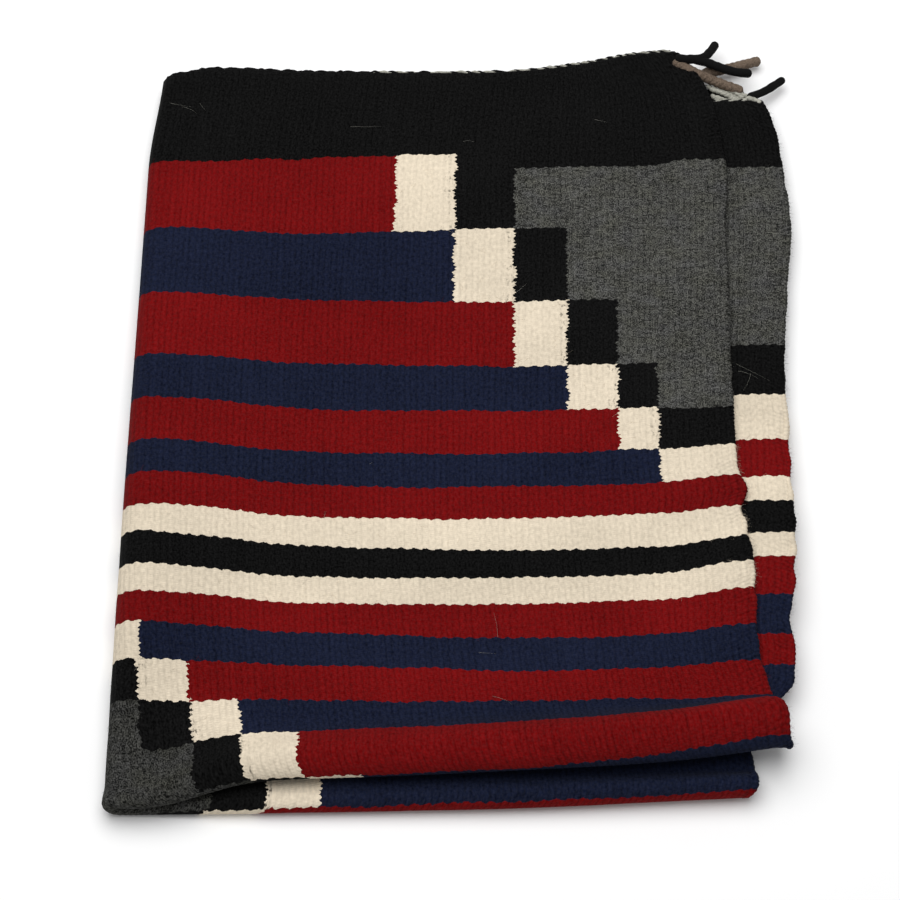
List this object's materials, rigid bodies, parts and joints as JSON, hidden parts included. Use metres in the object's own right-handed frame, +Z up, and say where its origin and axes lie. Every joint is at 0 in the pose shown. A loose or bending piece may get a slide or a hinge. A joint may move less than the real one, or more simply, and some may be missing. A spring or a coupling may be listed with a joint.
{
  "type": "folded flat-woven wool rug",
  "caption": "Flat-woven wool rug with stripes and stepped quarter diamonds, folded in four on its flat underside, with short corded tassels at the open corner.",
  "frame": {"origin": "middle of the underside on the surface the rug lies on", "axes": "+X from the width fold towards the selvedges, +Y from the length fold towards the ends, +Z up through the layers"},
  "size_m": [0.4198, 0.5338, 0.0435],
  "materials": {
    "woven_wool": "matte weft-faced wool, striped red, navy, cream, black and heathered grey",
    "black_cord": "matte plied wool cord",
    "brown_cord": "matte two-ply wool cord"
  },
  "bodies": {
    "root": {"rug_cloth": "woven_wool", "tassel_black_upper": "black_cord", "tassel_brown_upper": "brown_cord", "tassel_black_lower": "black_cord"}
  },
  "joints": []
}
